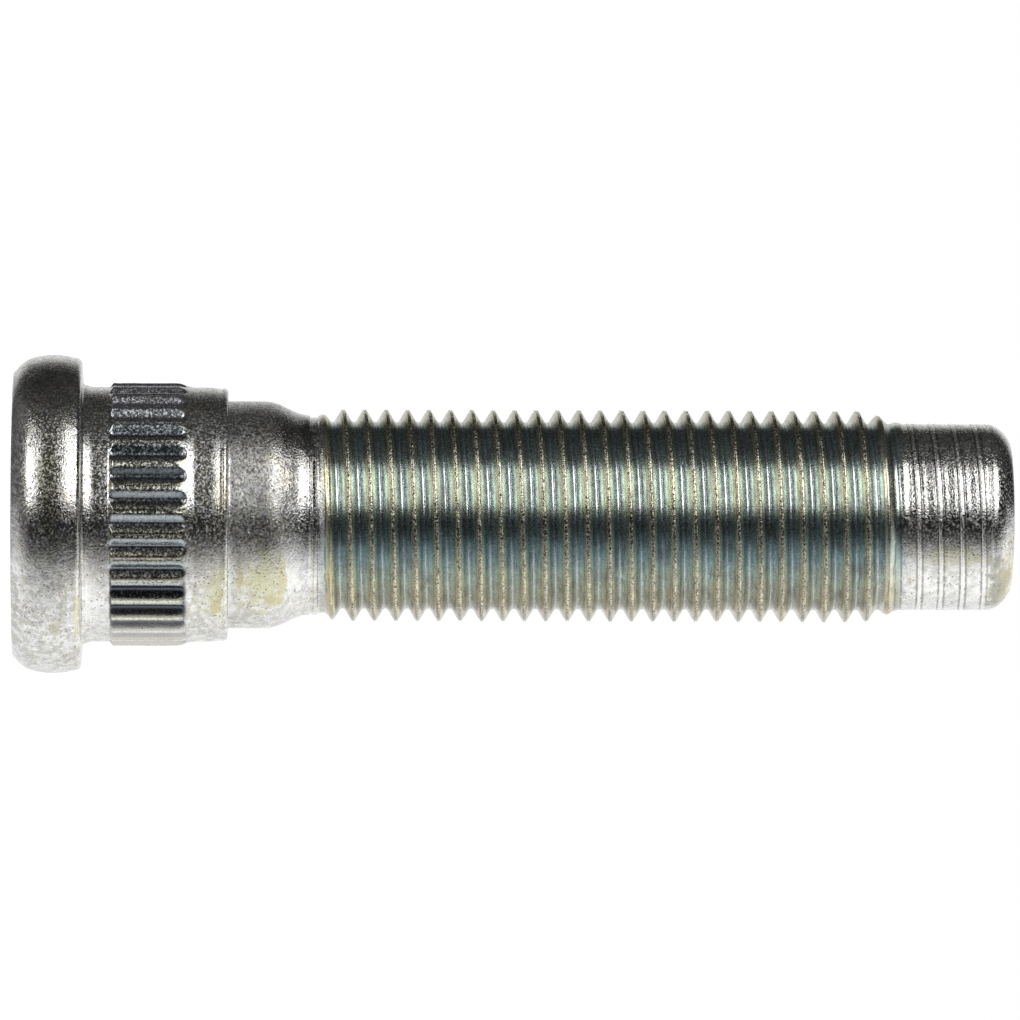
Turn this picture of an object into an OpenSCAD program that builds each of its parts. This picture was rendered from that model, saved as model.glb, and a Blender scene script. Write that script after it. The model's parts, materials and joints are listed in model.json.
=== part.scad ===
// Press-in wheel stud, upset and rolled from one steel blank.
// It stands on the outer face of its head, with the head centre at the origin
// and the shank, thread and lead point rising along +Z.

/* [Head] */
// Largest diameter of the barrel-shaped rim
head_d = 18.95; // [17.6:0.05:26]
// Thickness from the outer face to the underside
head_t = 4.1; // [3:0.1:8]
// Radius of the crown that makes the rim bulge at half height
head_crown_r = 4.8; // [3:0.1:30]
// Height of the rounded outer corner
head_corner_h = 1.05; // [0.4:0.05:2]
// Width of the rounded outer corner
head_corner_w = 0.95; // [0.4:0.05:1.8]
// Radius of the arc that rounds the outer corner
head_corner_r = 1.9; // [1.2:0.1:6]
// Radius of the small round at the edge of the underside
head_edge_r = 0.4; // [0.1:0.05:0.8]
// Radius of the fillet between the underside and the collar
seat_fillet_r = 0.5; // [0.1:0.05:1]

/* [Collar] */
// Diameter of the plain collar on both sides of the serrations
collar_d = 15.1; // [14.4:0.05:15.6]
// Length of plain collar between the head and the serrations
collar_back_len = 1.6; // [1.1:0.1:6]
// Length of plain collar between the serrations and the step
collar_front_len = 2.45; // [0.8:0.05:8]
// Radius of the round at the edge of the step
collar_edge_r = 0.3; // [0.1:0.05:0.35]

/* [Serrations] */
// Diameter over the tips of the serrations
serration_d = 15.65; // [15.3:0.05:16.2]
// Length of the serrated band
serration_len = 4.57; // [2:0.01:14]
// Number of serrations around the band
serration_count = 34; // [24:1:44]
// Width left on the tip of each serration
serration_land = 0.38; // [0.2:0.02:0.6]
// Angle at which the walls of the grooves slope down from the tips
serration_wall_angle = 37; // [30:1:45]
// Width of the rounded bottom of each groove
serration_root_w = 0.24; // [0.16:0.02:0.4]
// Length over which each tip runs down to the collar
serration_run_out = 0.35; // [0.1:0.05:0.8]
// Angle of the first groove around the axis
serration_angle = 9.2; // [0:0.1:15]

/* [Shoulder and neck] */
// Diameter of the guiding shoulder above the collar
shoulder_d = 13.47; // [12.6:0.01:14.2]
// Length of the straight part of the shoulder
shoulder_len = 2.1; // [0.5:0.05:8]
// Radius of the arc that turns the shoulder into its cone
shoulder_arc_r = 2.6; // [1:0.1:5]
// Half angle of the cone below the neck
shoulder_cone_angle = 26.6; // [20:0.1:40]
// Diameter of the neck, the blank from which the thread is rolled
neck_d = 11.83; // [11.2:0.01:12.2]
// Share of the room between cone and neck that the fillet at the neck takes up
neck_fillet_share = 0.5; // [0.1:0.05:0.9]
// Length of the plain neck
neck_len = 0.55; // [0.3:0.05:8]

/* [Thread] */
// Diameter over the crests
thread_major_d = 12.55; // [12.3:0.01:13.2]
// Diameter at the roots
thread_minor_d = 11.04; // [10.6:0.01:11.3]
// Distance from crest to crest
thread_pitch = 1.27; // [1.25:0.01:2.5]
// Angle between the flanks
thread_flank_angle = 60; // [50:1:64]
// Length of the whole thread with its run-in and run-out
thread_len = 34.5; // [12:0.1:38]
// Length over which the thread grows out of the neck
thread_run_in = 0.6; // [0.3:0.1:4]
// Length over which the crests fade towards the lead point
thread_run_out = 2.3; // [0.6:0.1:4]
// Share of the pitch that is flat on the crest
thread_crest_share = 0.14; // [0.08:0.01:0.2]
// Angle around the axis at which the thread starts
thread_angle = 46; // [0:1:359]

/* [Lead point] */
// Diameter of the plain lead point
lead_d = 11.02; // [10.4:0.01:11.3]
// Length of the lead point with its rounded end
lead_len = 6.35; // [2.5:0.05:12]
// Diameter of the flat end
tip_d = 8.9; // [7:0.1:9.6]
// Height of the rounded end
tip_h = 1.15; // [0.5:0.05:2]
// Radius of the arc that rounds the end
tip_arc_r = 2; // [1.5:0.1:6]

/* [Hidden] */
$fn = 96;
// Straight pieces along each rounded stretch of an outline
arc_steps = 8;

// Straight pieces of thread surface in one turn
thread_steps = 40;
// Plain height left below the first and above the last edge of the helix
thread_lead = 0.2 * thread_pitch;
// Height at each end into which the turn that has no thread yet is pressed
thread_squeeze = 0.4 * thread_pitch;
// How far the neck and the lead point reach over the ends of the thread
thread_overlap = 0.03;
// How far the ends of the thread stay inside the neck and the lead point
thread_inset = 0.02;
thread_low_r = neck_d / 2 - thread_inset;
thread_high_r = lead_d / 2 - thread_inset;

// Heights of the steps along the axis, from the head upwards
serration_z = head_t + collar_back_len;
collar_front_z = serration_z + serration_len;
step_z = collar_front_z + collar_front_len;
shoulder_arc_z = step_z + shoulder_len;
cone_z = shoulder_arc_z + shoulder_arc_r * sin(shoulder_cone_angle);
cone_r = shoulder_d / 2 - shoulder_arc_r * (1 - cos(shoulder_cone_angle));
neck_room_r = (shoulder_d - neck_d) / 2 / (1 - cos(shoulder_cone_angle)) - shoulder_arc_r;
neck_fillet_r = neck_fillet_share * neck_room_r;
fillet_r = neck_d / 2 + neck_fillet_r * (1 - cos(shoulder_cone_angle));
fillet_z = cone_z + (cone_r - fillet_r) / tan(shoulder_cone_angle);
neck_z = fillet_z + neck_fillet_r * sin(shoulder_cone_angle);
thread_z = neck_z + neck_len;

// Rim of the head: how far its crown falls back at both ends of the arc
crown_half = (head_t - head_corner_h - head_edge_r) / 2;
crown_drop = head_crown_r - sqrt(pow(head_crown_r, 2) - pow(crown_half, 2));
rim_r = head_d / 2 - crown_drop;

// Grooves between the serrations: two sloping walls with a rounded bottom
groove_half_w = (PI * serration_d / serration_count - serration_land) / 2;
groove_root_r = serration_root_w / 2 / sin(serration_wall_angle);
groove_root_rise = groove_root_r * (1 - cos(serration_wall_angle));
groove_wall_h = (groove_half_w - serration_root_w / 2) * tan(serration_wall_angle);
groove_depth = groove_root_rise + groove_wall_h;
// How far the cutter of a groove reaches past the tips
groove_reach = 0.4;
// Distance from the ends of the serrated band to the ends of the grooves on the collar
groove_end = 0.1;

// Thread form: run of one flank along the axis
thread_flank = (thread_major_d - thread_minor_d) / 2 * tan(thread_flank_angle / 2);
thread_crest = thread_crest_share * thread_pitch;
// Heights of the four edges of the thread form within one pitch
thread_rows = [0, thread_flank, thread_flank + thread_crest, 2 * thread_flank + thread_crest];
// Edges that lie on the crest
thread_on_crest = [false, true, true, false];
// Steps of the helix from the first edge to the last
thread_last = floor(thread_steps * (thread_len + thread_pitch - 2 * thread_lead) / thread_pitch);

// Points along the arc of radius r from p to q. It bulges to the right of the
// way from p to q, or to the left where r is negative.
function arc(p, q, r) =
    let (
        chord = q - p,
        left = [-chord.y, chord.x] / norm(chord),
        centre = (p + q) / 2 + left * sign(r) * sqrt(r * r - chord * chord / 4),
        start = atan2(p.y - centre.y, p.x - centre.x),
        turn = 2 * asin(norm(chord) / 2 / r)
    )
    [for (i = [0 : arc_steps])
        let (a = start + turn * i / arc_steps) centre + abs(r) * [cos(a), sin(a)]];

// Half section of the head, the collar, the shoulder and the neck
module shank_section() {
    face_edge = [rim_r - head_corner_w, 0];
    rim_low = [rim_r, head_corner_h];
    rim_high = [rim_r, head_t - head_edge_r];
    seat_edge = [rim_r - head_edge_r, head_t];
    seat_in = [collar_d / 2 + seat_fillet_r, head_t];
    fillet_high = [collar_d / 2, head_t + seat_fillet_r];
    step_low = [collar_d / 2, step_z - collar_edge_r];
    step_high = [collar_d / 2 - collar_edge_r, step_z];
    arc_low = [shoulder_d / 2, shoulder_arc_z];
    arc_high = [cone_r, cone_z];
    polygon([
        [0, 0],
        each arc(face_edge, rim_low, head_corner_r),
        each arc(rim_low, rim_high, head_crown_r),
        each arc(rim_high, seat_edge, head_edge_r),
        each arc(seat_in, fillet_high, -seat_fillet_r),
        [collar_d / 2, serration_z],
        [serration_d / 2, serration_z + serration_run_out],
        [serration_d / 2, collar_front_z - serration_run_out],
        [collar_d / 2, collar_front_z],
        each arc(step_low, step_high, collar_edge_r),
        [shoulder_d / 2, step_z],
        each arc(arc_low, arc_high, shoulder_arc_r),
        each arc([fillet_r, fillet_z], [neck_d / 2, neck_z], -neck_fillet_r),
        [neck_d / 2, thread_z + thread_overlap],
        [0, thread_z + thread_overlap],
    ]);
}

// Cutter for one groove, lying along the axis of the stud, with ends that slope out of the collar
module groove_cutter() {
    top_r = serration_d / 2 + groove_reach;
    top_half_w = groove_half_w + groove_reach / tan(serration_wall_angle);
    wall_r = serration_d / 2 - groove_wall_h;
    low_r = serration_d / 2 - groove_depth - groove_reach;
    low_z = serration_z + groove_end;
    high_z = collar_front_z - groove_end;
    out = top_r - collar_d / 2;
    in = collar_d / 2 - low_r;
    intersection() {
        linear_extrude(collar_front_z + 1)
            polygon([
                [top_r, top_half_w],
                each arc([wall_r, serration_root_w / 2], [wall_r, -serration_root_w / 2], groove_root_r),
                [top_r, -top_half_w],
            ]);
        rotate([90, 0, 0])
            linear_extrude(4 * top_half_w, center = true)
                polygon([
                    [low_r, low_z + in],
                    [top_r, low_z - out],
                    [top_r, high_z + out],
                    [low_r, high_z - in],
                ]);
    }
}

// Head and shank with the grooves cut between the serrations
module shank() {
    difference() {
        rotate_extrude() shank_section();
        for (i = [0 : serration_count - 1])
            rotate(serration_angle + i * 360 / serration_count) groove_cutter();
    }
}

// Share of the full thread form at height z above the start of the thread
function grown(z) = min(1, max(0, z / thread_run_in));
function faded(z) = min(1, max(0, (thread_len - z) / thread_run_out));

// Radius at height z of an edge that has radius full where the thread is whole
function edge_r(z, full) =
    thread_low_r + (full - thread_low_r) * grown(z) + (thread_high_r - full) * (1 - faded(z));

// Height of a point: the helix goes on for one turn past each end of the thread,
// where it has no form any more, and is pressed together there to end level
function squeezed(z) =
    let (share = thread_squeeze / (thread_squeeze + thread_pitch))
    z < thread_squeeze ? (z + thread_pitch) * share :
    z > thread_len - thread_squeeze ? thread_len - (thread_len + thread_pitch - z) * share :
    z;

// Point of edge number row after a number of steps up the helix
function thread_point(step, row) =
    let (
        z = thread_lead + thread_pitch * (step / thread_steps - 1) + thread_rows[row],
        r = edge_r(z, (thread_on_crest[row] ? thread_major_d : thread_minor_d) / 2),
        a = 360 * step / thread_steps
    )
    [r * cos(a), r * sin(a), squeezed(z)];

// Level ring of points that closes the thread at one end
function thread_ring(first, r, z) =
    [for (i = [0 : thread_steps - 1])
        let (a = 360 * (first + i) / thread_steps) [r * cos(a), r * sin(a), z]];

// Right-hand helical thread, closed by a flat disc at each end
module thread() {
    steps = thread_steps;
    last = thread_last;
    helix = [for (s = [0 : last + steps]) thread_point(s, 0)];
    edges = [for (row = [1 : 3]) for (s = [0 : last]) thread_point(s, row)];
    low_ring = thread_ring(0, thread_low_r, 0);
    high_ring = thread_ring(last, thread_high_r, thread_len);
    low = len(helix) + len(edges);
    high = low + steps;
    // Number of the point on edge row, where row 4 is row 0 one turn on
    function at(s, row) =
        row == 0 ? s : row == 4 ? s + steps : len(helix) + (row - 1) * (last + 1) + s;
    function low_at(s) = low + s % steps;
    function high_at(s) = high + s % steps;
    flanks = [for (s = [0 : last - 1]) for (row = [0 : 3])
        each [
            [at(s, row), at(s, row + 1), at(s + 1, row)],
            [at(s + 1, row), at(s, row + 1), at(s + 1, row + 1)],
        ]];
    low_skirt = [for (s = [0 : steps - 2])
        each [
            [low_at(s), at(s, 0), low_at(s + 1)],
            [low_at(s + 1), at(s, 0), at(s + 1, 0)],
        ]];
    low_seam = [
        [low_at(steps - 1), at(steps - 1, 0), low_at(0)],
        [low_at(0), at(steps - 1, 0), at(0, 0)],
        for (row = [0 : 3]) [at(0, row), at(steps - 1, 0), at(0, row + 1)],
    ];
    high_skirt = [for (s = [1 : steps - 1])
        each [
            [at(last + s, 0), high_at(s), at(last + s + 1, 0)],
            [at(last + s + 1, 0), high_at(s), high_at(s + 1)],
        ]];
    high_seam = [
        for (row = [0 : 3]) [at(last, row), at(last, row + 1), at(last + 1, 0)],
        [at(last, 4), high_at(0), at(last + 1, 0)],
        [at(last + 1, 0), high_at(0), high_at(1)],
    ];
    discs = [
        [for (i = [0 : steps - 1]) low + i],
        [for (i = [0 : steps - 1]) high + steps - 1 - i],
    ];
    polyhedron(
        points = concat(helix, edges, low_ring, high_ring),
        faces = concat(flanks, low_skirt, low_seam, high_skirt, high_seam, discs),
        convexity = 10
    );
}

// Plain lead point that guides the nut onto the thread
module lead_point() {
    end_low = [lead_d / 2, lead_len - tip_h];
    end_high = [tip_d / 2, lead_len];
    rotate_extrude()
        polygon([
            [0, -thread_overlap],
            [lead_d / 2, -thread_overlap],
            each arc(end_low, end_high, tip_arc_r),
            [0, lead_len],
        ]);
}

// The whole stud: one forged and rolled piece
module wheel_stud() {
    color([0.8, 0.79, 0.74])
        union() {
            shank();
            translate([0, 0, thread_z]) {
                rotate(thread_angle) thread();
                translate([0, 0, thread_len]) lead_point();
            }
        }
}

wheel_stud();
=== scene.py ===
"""Dressed model of a press-in wheel stud: one forged, rolled and zinc-plated piece of steel.

Sizes are millimetres unless a name says otherwise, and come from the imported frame's box and
mounts. The stud stands on the outer face of its head, with its axis along +Z. The camera lies
on its side, so that the picture shows the head at the left and the lead point at the right.
"""

import json
import logging
import math
from dataclasses import dataclass
from enum import Enum
from typing import Any, Callable, Optional

import bpy
from mathutils import Matrix, Vector, noise


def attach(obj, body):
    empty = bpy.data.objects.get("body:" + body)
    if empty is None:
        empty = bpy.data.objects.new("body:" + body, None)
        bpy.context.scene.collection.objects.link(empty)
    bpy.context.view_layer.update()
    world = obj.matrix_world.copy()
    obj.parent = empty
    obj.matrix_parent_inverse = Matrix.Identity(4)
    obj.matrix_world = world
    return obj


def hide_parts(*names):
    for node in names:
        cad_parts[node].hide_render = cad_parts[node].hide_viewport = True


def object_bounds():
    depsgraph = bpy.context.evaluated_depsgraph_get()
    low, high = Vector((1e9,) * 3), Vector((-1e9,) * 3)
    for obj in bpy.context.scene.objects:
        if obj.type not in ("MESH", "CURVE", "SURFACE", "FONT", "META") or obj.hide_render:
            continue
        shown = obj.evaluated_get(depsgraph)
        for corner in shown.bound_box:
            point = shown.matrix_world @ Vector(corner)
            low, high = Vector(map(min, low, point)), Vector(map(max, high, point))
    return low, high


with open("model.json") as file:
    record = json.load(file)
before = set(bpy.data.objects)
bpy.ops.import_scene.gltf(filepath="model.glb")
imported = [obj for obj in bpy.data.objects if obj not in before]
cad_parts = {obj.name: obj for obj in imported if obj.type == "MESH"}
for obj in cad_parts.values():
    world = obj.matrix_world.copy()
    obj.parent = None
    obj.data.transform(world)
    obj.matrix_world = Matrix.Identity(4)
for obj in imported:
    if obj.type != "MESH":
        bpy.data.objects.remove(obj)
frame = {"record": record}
CAD_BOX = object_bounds()

LOG = logging.getLogger("wheel_stud")
NODE = "wheel_stud"
MM = 0.001
TURN = 2 * math.pi

Point = tuple[float, float, float]
Colour = tuple[float, float, float]
Flat = tuple[float, float]
Section = list[Flat]
Stop = tuple[float, Colour]


def mount(name: str) -> dict[str, Any]:
    """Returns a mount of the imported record, placed in metres and sized in millimetres."""
    return next(entry for entry in frame["record"]["mounts"] if entry["name"] == name)


def span(name: str) -> Flat:
    """Works out where a round mount begins and ends.

    Args:
        name: The mount's name.

    Returns:
        The lowest and highest height of the mount.
    """
    centre = mount(name)["pos_m"][2] / MM
    half = mount(name)["dims"]["length_mm"] / 2
    return centre - half, centre + half


def mix(a: float, b: float, share: float) -> float:
    """Returns the value that lies a share of the way from a to b."""
    return a + (b - a) * share


def smooth(low: float, high: float, value: float) -> float:
    """Returns a share from 0 to 1, which rises softly while value goes from low to high."""
    share = min(1.0, max(0.0, (value - low) / (high - low)))
    return share * share * (3 - 2 * share)


def bell(distance: float, width: float) -> float:
    """Returns 1 at distance 0, falling off as a bell curve of that width."""
    return math.exp(-((distance / width) ** 2))


def soft_max(a: float, b: float, width: float) -> float:
    """Returns the larger of two values, rounded off where they are nearly the same.

    Args:
        a: The first value.
        b: The second value.
        width: How wide the rounding is.

    Returns:
        The rounded maximum.
    """
    share = (a - b) / width
    if abs(share) > 12:
        return max(a, b)
    return b + width * math.log(1 + math.exp(share))


def grain(angle: float, radius: float, z: float, size: float, seed: float = 0.0) -> float:
    """Returns smooth noise on the stud's surface, between about -1 and 1, in grains of that size."""
    place = Vector((radius * math.cos(angle), radius * math.sin(angle), z)) / size
    return noise.noise(place + Vector((seed, -seed, 0.37 * seed)))


def arc(start: Flat, end: Flat, radius: float, steps: int) -> Section:
    """Points of a half section along an arc.

    Args:
        start: First point, as distance from the axis and height.
        end: Last point.
        radius: Radius of the arc, negative where it is hollow.
        steps: Number of straight pieces.

    Returns:
        The points from start to end, both included.
    """
    p, q = Vector(start), Vector(end)
    chord = q - p
    left = Vector((-chord.y, chord.x)).normalized()
    rise = math.sqrt(radius * radius - chord.length_squared / 4)
    centre = (p + q) / 2 + left * math.copysign(rise, radius)
    first = math.atan2(p.y - centre.y, p.x - centre.x)
    turn = 2 * math.asin(chord.length / 2 / radius)
    size = abs(radius)
    angles = [first + turn * i / steps for i in range(steps + 1)]
    return [(centre.x + size * math.cos(a), centre.y + size * math.sin(a)) for a in angles]


@dataclass(frozen=True)
class Relief:
    """A slight unevenness: waves with a finer grain on them, all below the surface's full size."""

    wave: float
    wave_size: float
    wave_seed: float
    fine: float
    fine_size: float
    fine_seed: float

    def at(self, angle: float, r: float, z: float) -> float:
        """Returns how far the surface stands proud of its section, along the normal."""
        wave = self.wave * (grain(angle, r, z, self.wave_size, self.wave_seed) - 1)
        return wave + self.fine * grain(angle, r, z, self.fine_size, self.fine_seed)


class MeshMaker:
    """Collects the points and faces of one closed surface."""

    def __init__(self) -> None:
        """Starts with an empty surface."""
        self.points: list[Point] = []
        self.faces: list[tuple[int, ...]] = []

    def add(self, radius: float, angle: float, z: float) -> int:
        """Adds a point, given by its distance from the axis, angle and height. Returns its number."""
        self.points.append((radius * math.cos(angle), radius * math.sin(angle), z))
        return len(self.points) - 1

    def ring(self, angles: list[float], place: Callable[[float], Flat]) -> list[int]:
        """Adds a ring of points at these angles, and returns their numbers."""
        return [self.add(place(a)[0], a, place(a)[1]) for a in angles]

    def bridge(self, low: list[int], high: list[int]) -> None:
        """Joins two rings, which may have different numbers of points.

        Args:
            low: The lower ring, or the inner one on the head's outer face.
            high: The ring after it.
        """
        n, m = len(low), len(high)
        if n == m:
            for i in range(n):
                j = (i + 1) % n
                self.faces.append((low[i], low[j], high[j], high[i]))
            return
        i = j = 0
        while i < n or j < m:
            if j == m or (i < n and (i + 1) * m <= (j + 1) * n):
                self.faces.append((low[i % n], low[(i + 1) % n], high[j % m]))
                i += 1
            else:
                self.faces.append((low[i % n], high[(j + 1) % m], high[j % m]))
                j += 1

    def cap(self, ring: list[int], z: float, upward: bool) -> None:
        """Closes a ring with a fan around a point on the axis.

        Args:
            ring: The ring to close.
            z: Height of the middle point.
            upward: Whether the cap looks up, away from the head.
        """
        middle = self.add(0.0, 0.0, z)
        for i, here in enumerate(ring):
            there = ring[(i + 1) % len(ring)]
            self.faces.append((here, there, middle) if upward else (there, here, middle))

    def build(self, name: str) -> bpy.types.Object:
        """Makes the Blender object.

        Args:
            name: The object's name.

        Returns:
            The object, smooth-shaded and linked to the scene.
        """
        mesh = bpy.data.meshes.new(name)
        mesh.from_pydata([tuple(c * MM for c in p) for p in self.points], [], self.faces)
        mesh.polygons.foreach_set("use_smooth", [True] * len(mesh.polygons))
        mesh.validate()
        mesh.update()
        piece = bpy.data.objects.new(name, mesh)
        bpy.context.scene.collection.objects.link(piece)
        return piece


@dataclass
class Head:
    """The upset head, a thick disc with a barrel-shaped rim."""

    radius: float
    thickness: float
    crown_r: float = 4.8
    corner_h: float = 1.05
    corner_w: float = 0.95
    corner_r: float = 1.9
    edge_r: float = 0.4
    fillet_r: float = 0.22
    throat_r: float = 1.45
    throat_z: float = 0.2
    throat_turn: float = math.radians(24)
    foot_gap: float = 0.16
    forged: Relief = Relief(0.03, 3.5, 4.0, 0.008, 0.7, 9.0)
    face_rings: int = 9
    points_round: int = 180

    def section(self, collar_r: float) -> Section:
        """Half section from the axis over the rim to the collar.

        Args:
            collar_r: Radius of the collar above the head.

        Returns:
            The points of the section.
        """
        half = (self.thickness - self.corner_h - self.edge_r) / 2
        rim = self.radius - self.crown_r + math.sqrt(self.crown_r**2 - half**2)
        face = rim - self.corner_w
        low, high = (rim, self.corner_h), (rim, self.thickness - self.edge_r)
        under = (rim - self.edge_r, self.thickness)
        throat_r = collar_r + self.throat_r * (1 - math.cos(self.throat_turn))
        throat = (throat_r, self.thickness + self.throat_z)
        end = (collar_r, throat[1] + self.throat_r * math.sin(self.throat_turn))
        foot = (throat_r + self.foot_gap, self.thickness)
        points = [(face * (i + 1) / self.face_rings, 0.0) for i in range(self.face_rings - 1)]
        points += arc((face, 0.0), low, self.corner_r, 9)
        points += arc(low, high, self.crown_r, 12)[1:]
        points += arc(high, under, self.edge_r, 6)[1:]
        points += [(mix(under[0], foot[0], i / 4), self.thickness) for i in range(1, 4)]
        points += arc(foot, throat, -self.fillet_r, 5)
        points += arc(throat, end, -self.throat_r, 6)[1:]
        return points

    def relief(self, angle: float, r: float, z: float) -> float:
        """Returns the offset of the rim. The outer face and the part under the head are flat."""
        if z < 0.02 or r < self.radius * 0.9:
            return 0.0
        return self.forged.at(angle, r, z)


@dataclass
class Serrations:
    """The straight, rolled serrations that bite into the hub."""

    tip_r: float
    low: float
    high: float
    collar_r: float
    count: int = 34
    first_angle: float = math.radians(3.9)
    land: float = 0.38
    wall_slope: float = math.tan(math.radians(37))
    root_soft: float = 0.05
    seam_depth: float = 0.02
    seam_width: float = 0.045
    edge_soft: float = 0.028
    floor_soft: float = 0.07
    floor_depth: float = 0.1
    worn: float = 0.025

    def __post_init__(self) -> None:
        """Works out the grooves between the tips."""
        self.pitch = TURN / self.count
        self.half = (self.pitch * self.tip_r - self.land) / 2

    def angles(self) -> list[float]:
        """Returns the angles of the points around the band, from tip to tip."""
        half = (0.0, 0.045, 0.085, 0.115, 0.14, 0.17, 0.22, 0.3, 0.4)
        shares = [*half, 0.5, *(1 - share for share in reversed(half[1:]))]
        return [self.first_angle + (i + s) * self.pitch for i in range(self.count) for s in shares]

    def heights(self) -> list[float]:
        """Returns the heights of the rings across the band."""
        foot = [self.low + rise for rise in (-0.1, 0.0, 0.07, 0.14, 0.22, 0.32, 0.44, 0.6, 0.8)]
        middle = [mix(self.low, self.high, share) for share in (0.25, 0.34, 0.43, 0.52, 0.61, 0.7)]
        falls = (1.1, 0.9, 0.75, 0.62, 0.5, 0.4, 0.31, 0.23, 0.14, 0.04, -0.08, -0.22, -0.4)
        return foot + middle + [self.high - fall for fall in falls]

    def radius(self, angle: float, z: float) -> float:
        """Distance of the surface from the axis.

        Args:
            angle: Angle around the axis, in radians.
            z: Height.

        Returns:
            The distance.
        """
        inside = min(z - self.low, self.high - z)
        rise = smooth(-0.02, 0.26, z - self.low) * smooth(self.high + 0.42, self.high - 0.62, z)
        tooth = mix(self.collar_r, self.tip_r, rise)
        share = (angle - self.first_angle) / self.pitch
        number = math.floor(share)
        off = (share - number - 0.5) * self.pitch
        tip = math.floor(share + 0.5)
        from_tip = (share - tip) * self.pitch * self.tip_r
        seam_at = 0.04 * grain(angle, 1.0, z, 0.6, float(tip))
        body = smooth(0.1, 0.5, inside)
        tooth -= self.seam_depth * body * bell(from_tip - seam_at, self.seam_width)
        tooth -= self.worn * body * (1 + grain(angle, self.tip_r, z, 0.35, 3.0))
        across = math.hypot(off * self.tip_r, self.root_soft)
        floor = self.tip_r - self.wall_slope * (self.half - across)
        floor += 0.02 * grain(angle, self.tip_r, z, 0.4, 7.0)
        past = max(self.low + 0.17 - z, z - self.high + 0.22)
        round_end = 0.3 * (abs(off) * self.tip_r / self.half) ** 3
        run_out = self.collar_r - self.floor_depth + 1.3 * (past + round_end)
        floor = soft_max(floor, run_out, self.floor_soft)
        return -soft_max(-tooth, -floor, self.edge_soft)


@dataclass
class Shoulder:
    """The plain collar, the step, the guiding shoulder, its cone and the neck."""

    collar_r: float
    collar_top: float
    radius: float
    low: float
    high: float
    neck_r: float
    brow_fall: float = 0.85
    brow_in: float = 0.1
    brow_under: float = 0.12
    brow_r: float = 2.9
    step_in: float = 0.24
    step_arc_r: float = 0.27
    foot: float = 0.12
    turned: Relief = Relief(0.012, 2.2, 6.0, 0.004, 0.5, 2.0)
    arc_r: float = 2.6
    cone_angle: float = math.radians(26.6)
    fillet_share: float = 0.5

    def collar_section(self, start: float) -> Section:
        """Half section of the collar up to the foot of the step.

        Args:
            start: Height at which the section begins.

        Returns:
            The points of the section.
        """
        brow = (self.collar_r - self.brow_in, self.collar_top - self.brow_under)
        step_r, edge = brow[0] - self.step_in, self.collar_top - self.brow_fall
        points = [(self.collar_r, mix(start, edge, i / 3)) for i in range(3)]
        points += arc((self.collar_r, edge), brow, self.brow_r, 6)
        points += arc(brow, (step_r, self.low), self.step_arc_r, 6)[1:]
        points += [(mix(step_r, self.radius, share), self.low) for share in (0.4, 0.8)]
        return points

    def shoulder_section(self) -> Section:
        """Returns the half section from the foot of the step to the neck."""
        cone_z = self.high + self.arc_r * math.sin(self.cone_angle)
        cone_r = self.radius - self.arc_r * (1 - math.cos(self.cone_angle))
        bend = 1 - math.cos(self.cone_angle)
        fillet_r = self.fillet_share * ((self.radius - self.neck_r) / bend - self.arc_r)
        low_r = self.neck_r + fillet_r * bend
        low_z = cone_z + (cone_r - low_r) / math.tan(self.cone_angle)
        neck_z = low_z + fillet_r * math.sin(self.cone_angle)
        points = [(self.radius + self.foot * 0.45, self.low)]
        points += [(self.radius + self.foot * 0.12, self.low + self.foot * 0.3)]
        points += [(self.radius, mix(self.low + self.foot, self.high, i / 6)) for i in range(6)]
        points += arc((self.radius, self.high), (cone_r, cone_z), self.arc_r, 8)
        points += arc((low_r, low_z), (self.neck_r, neck_z), -fillet_r, 8)[:-1]
        return points


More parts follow.
